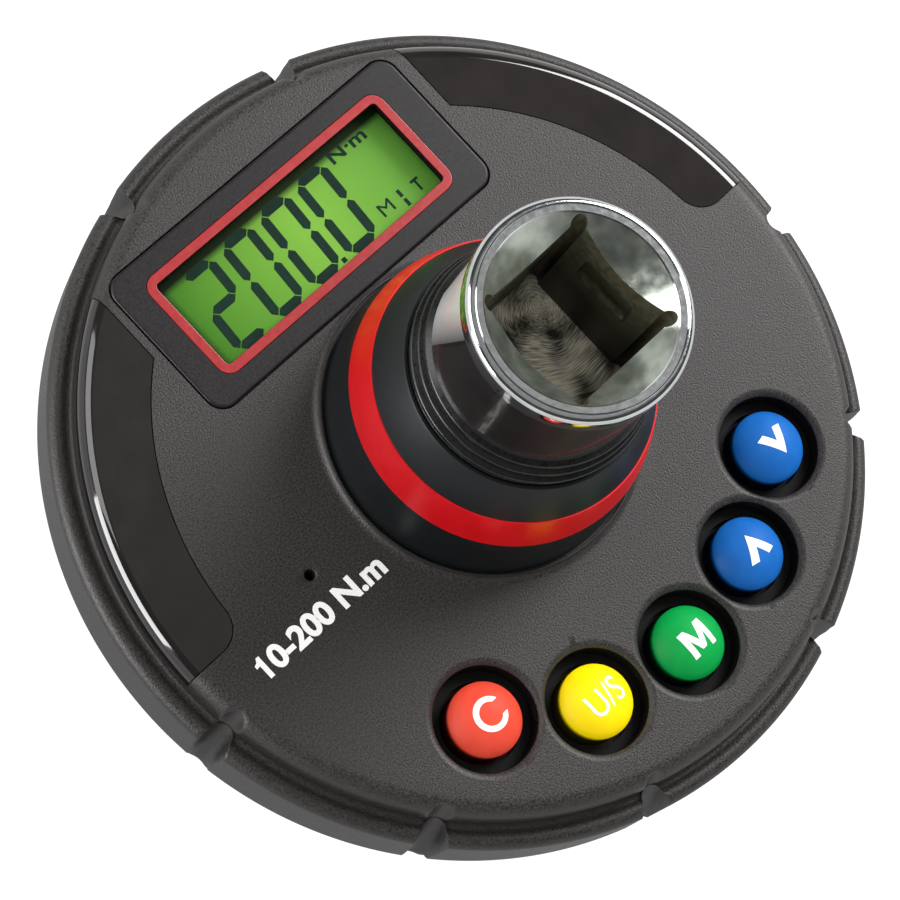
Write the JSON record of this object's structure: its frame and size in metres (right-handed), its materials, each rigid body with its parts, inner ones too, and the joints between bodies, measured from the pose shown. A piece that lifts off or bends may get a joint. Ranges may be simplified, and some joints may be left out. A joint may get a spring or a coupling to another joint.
{
  "type": "torque angle gauge",
  "caption": "Round digital torque and angle adapter: a square drive shaft carries a puck housing with a display, push buttons, smoked light windows and a quarter-turn battery cap.",
  "frame": {"origin": "centre of the male square's end face", "axes": "+Z along the shaft from the male square up to the female square, +Y towards the display, +X to the right seen from the female square with the display up"},
  "size_m": [0.088, 0.088, 0.0718],
  "materials": {
    "chromed_steel": "polished chrome plate on steel",
    "bright_steel": "bright steel",
    "grained_abs": "fine spark-grained dark grey ABS",
    "smoked_acrylic": "polished smoked acrylic",
    "satin_bezel": "satin dark grey",
    "red_frame": "satin red",
    "red_band": "gloss red",
    "collar_plastic": "satin blue-black",
    "black_rubber": "smooth black rubber",
    "clear_acrylic": "clear",
    "lcd_glass": "green backlit display",
    "white_diffuser": "white diffuser",
    "board_laminate": "green solder mask",
    "black_moulding": "black moulding",
    "led_lens": "water clear",
    "polyimide_foil": "amber film",
    "button_red": "gloss",
    "button_yellow": "gloss",
    "button_green": "gloss",
    "button_blue": "gloss"
  },
  "bodies": {
    "gauge": {"angle_sensor": "black_moulding", "battery_contact_minus": "bright_steel", "battery_contact_plus": "bright_steel", "battery_tray": "black_moulding", "bottom_cover": "grained_abs", "buzzer": "black_moulding", "coin_cell": "bright_steel", "controller_chip": "black_moulding", "cover_screw_1": "bright_steel", "cover_screw_2": "bright_steel", "cover_screw_3": "bright_steel", "cover_screw_4": "bright_steel", "detent_spring": "bright_steel", "display_bezel": "satin_bezel", "display_frame": "red_frame", "display_lens": "clear_acrylic", "drive_shaft": "chromed_steel", "housing_gasket": "black_rubber", "hub_pin_1": "bright_steel", "hub_pin_2": "bright_steel", "hub_sleeve": "bright_steel", "lcd_backlight": "white_diffuser", "lcd_panel": "lcd_glass", "lcd_strip_front": "black_rubber", "lcd_strip_rear": "black_rubber", "light_window_left": "smoked_acrylic", "light_window_right": "smoked_acrylic", "lower_seal": "black_rubber", "main_board": "board_laminate", "neck_collar": "collar_plastic", "neck_seal": "black_rubber", "red_band": "red_band", "retaining_ring": "bright_steel", "status_led_1": "led_lens", "status_led_2": "led_lens", "status_led_3": "led_lens", "status_led_4": "led_lens", "strain_gauge_front": "polyimide_foil", "strain_gauge_rear": "polyimide_foil", "switch_clear": "black_moulding", "switch_down": "black_moulding", "switch_mode": "black_moulding", "switch_units": "black_moulding", "switch_up": "black_moulding", "top_cover": "grained_abs"},
    "button_clear_body": {"button_clear": "button_red"},
    "button_units_body": {"button_units": "button_yellow"},
    "button_mode_body": {"button_mode": "button_green"},
    "button_up_body": {"button_up": "button_blue"},
    "button_down_body": {"button_down": "button_blue"},
    "battery_cap_body": {"battery_cap": "grained_abs", "battery_cap_seal": "black_rubber"},
    "detent_ball_body": {"detent_ball": "bright_steel"}
  },
  "joints": [
    {"name": "press_clear", "type": "slide", "parent": "gauge", "child": "button_clear_body", "axis": [0, 0, -1], "range_m": [0, 0.0006], "stiffness_N_per_m": 1500},
    {"name": "press_units", "type": "slide", "parent": "gauge", "child": "button_units_body", "axis": [0, 0, -1], "range_m": [0, 0.0006], "stiffness_N_per_m": 1500},
    {"name": "press_mode", "type": "slide", "parent": "gauge", "child": "button_mode_body", "axis": [0, 0, -1], "range_m": [0, 0.0006], "stiffness_N_per_m": 1500},
    {"name": "press_up", "type": "slide", "parent": "gauge", "child": "button_up_body", "axis": [0, 0, -1], "range_m": [0, 0.0006], "stiffness_N_per_m": 1500},
    {"name": "press_down", "type": "slide", "parent": "gauge", "child": "button_down_body", "axis": [0, 0, -1], "range_m": [0, 0.0006], "stiffness_N_per_m": 1500},
    {"name": "battery_cap_turn", "type": "hinge", "parent": "gauge", "child": "battery_cap_body", "pos_m": [0, 0.026, 0.016], "axis": [0, 0, -1], "range_deg": [0, 35]},
    {"name": "detent_press", "type": "slide", "parent": "gauge", "child": "detent_ball_body", "axis": [-1, 0, 0], "range_m": [0, 0.0006], "stiffness_N_per_m": 3000}
  ]
}
